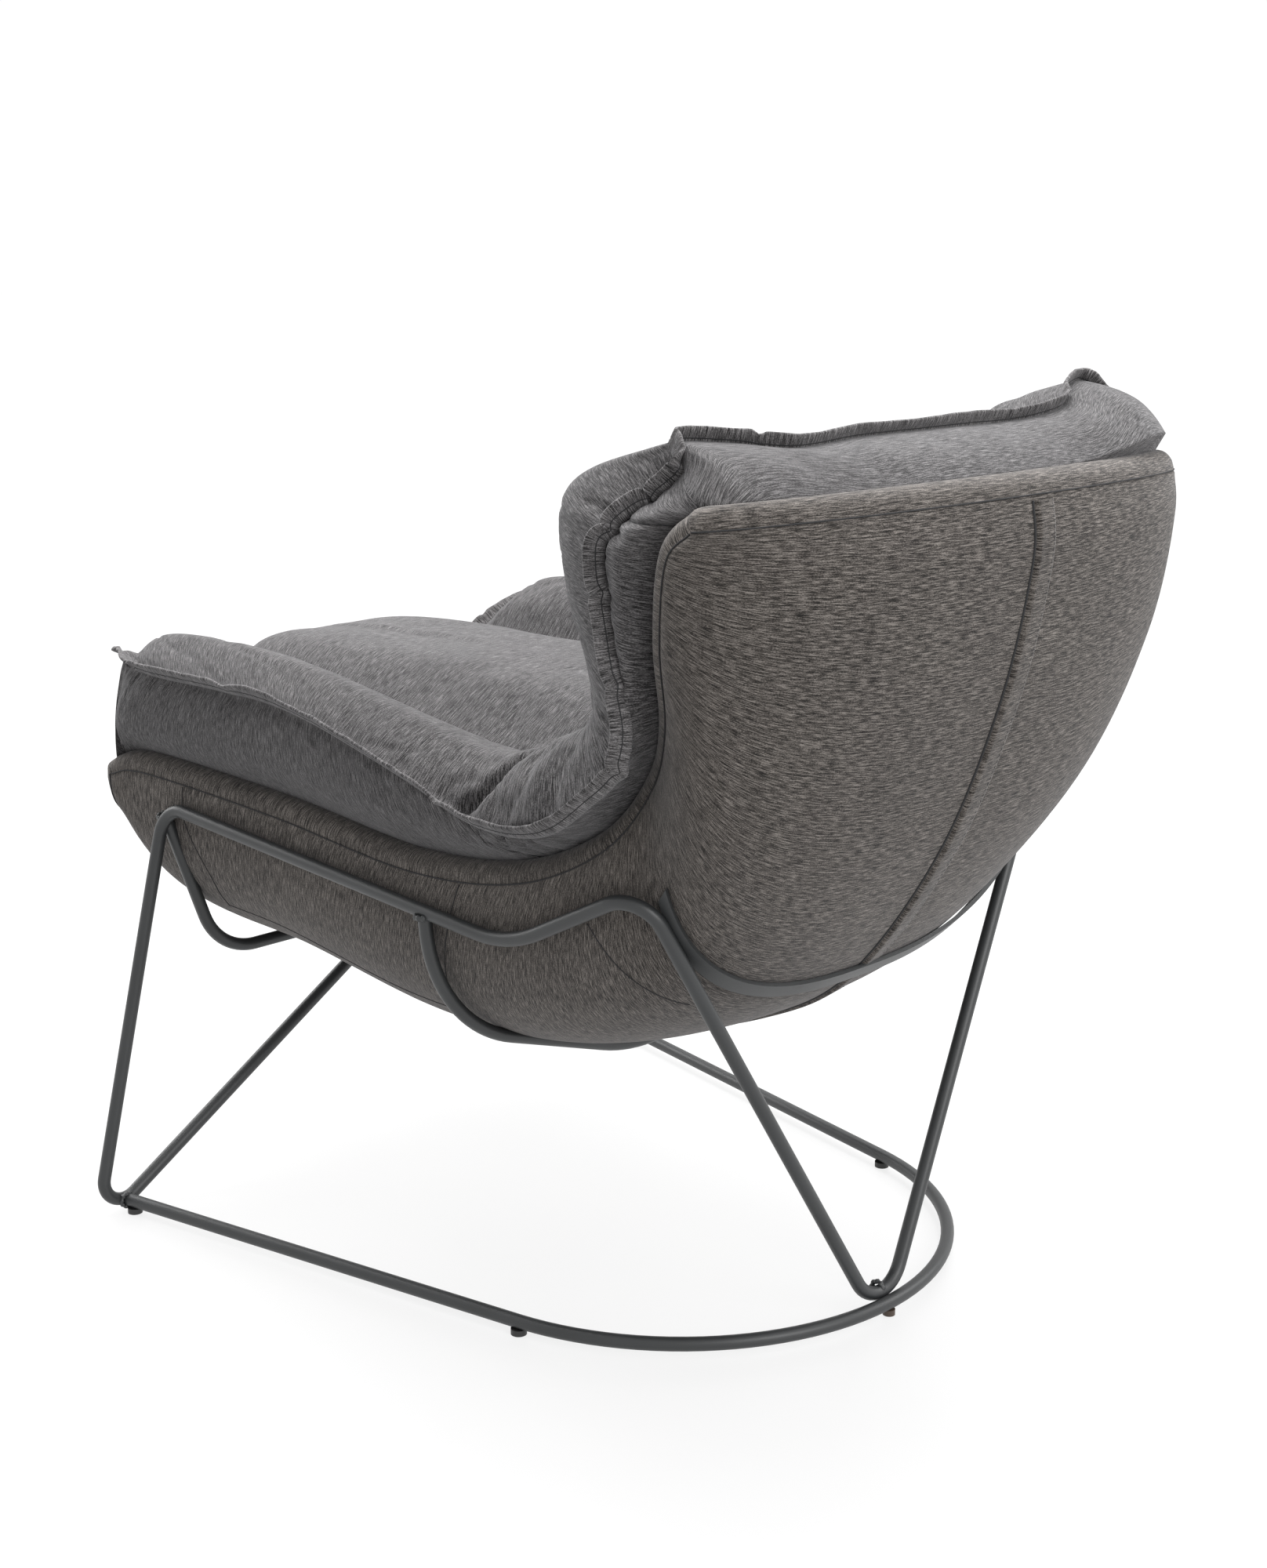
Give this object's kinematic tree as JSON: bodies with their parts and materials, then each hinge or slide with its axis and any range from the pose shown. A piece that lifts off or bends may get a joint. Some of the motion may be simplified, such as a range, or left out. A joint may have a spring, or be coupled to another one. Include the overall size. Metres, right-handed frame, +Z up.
{
  "type": "bucket lounge chair",
  "caption": "Low upholstered bucket lounge chair with loose winged cushion on a bent round-tube frame with a floor ring.",
  "frame": {"origin": "centre of the chair's bounding box on the floor plane", "axes": "+Z up, -Y the way the sitter faces, +X the sitter's left"},
  "size_m": [0.84, 1.0206, 0.915],
  "materials": {
    "frame_paint": "satin powder coat",
    "fastener_steel": "zinc plated",
    "glide_plastic": "matte",
    "rear_glide_plastic": "matte",
    "shell_fabric": "short pile chenille",
    "cushion_fabric": "short pile chenille",
    "foam": "open cell foam",
    "core_plywood": "moulded plywood"
  },
  "bodies": {
    "root": {"floor_ring": "frame_paint", "left_side_rail": "frame_paint", "right_side_rail": "frame_paint", "left_front_leg": "frame_paint", "right_front_leg": "frame_paint", "rear_v_bar": "frame_paint", "front_inverted_v": "frame_paint", "front_cradle_hoop": "frame_paint", "rear_cradle_hoop": "frame_paint", "rear_strap": "frame_paint", "mounting_tabs": "frame_paint", "floor_glides": "glide_plastic", "rear_glide": "rear_glide_plastic", "tab_washers": "fastener_steel", "mounting_screws": "fastener_steel", "tee_nuts": "fastener_steel", "shell_outer_cover": "shell_fabric", "shell_inner_lining": "shell_fabric", "closure_flap": "shell_fabric", "rim_roll_left": "shell_fabric", "rim_roll_right": "shell_fabric", "rim_roll_front": "shell_fabric", "rim_roll_top": "shell_fabric", "shell_outer_foam": "foam", "shell_inner_foam": "foam", "shell_core": "core_plywood", "seat_base_foam": "foam", "seat_pad": "cushion_fabric", "back_pad": "cushion_fabric", "arm_pad_left": "cushion_fabric", "arm_pad_right": "cushion_fabric", "arm_bolster_left": "cushion_fabric", "arm_bolster_right": "cushion_fabric", "corner_pad_left": "cushion_fabric", "corner_pad_right": "cushion_fabric", "corner_bolster_left": "cushion_fabric", "corner_bolster_right": "cushion_fabric", "wing_pad_left": "cushion_fabric", "wing_pad_right": "cushion_fabric", "wing_bolster_left": "cushion_fabric", "wing_bolster_right": "cushion_fabric"}
  },
  "joints": []
}
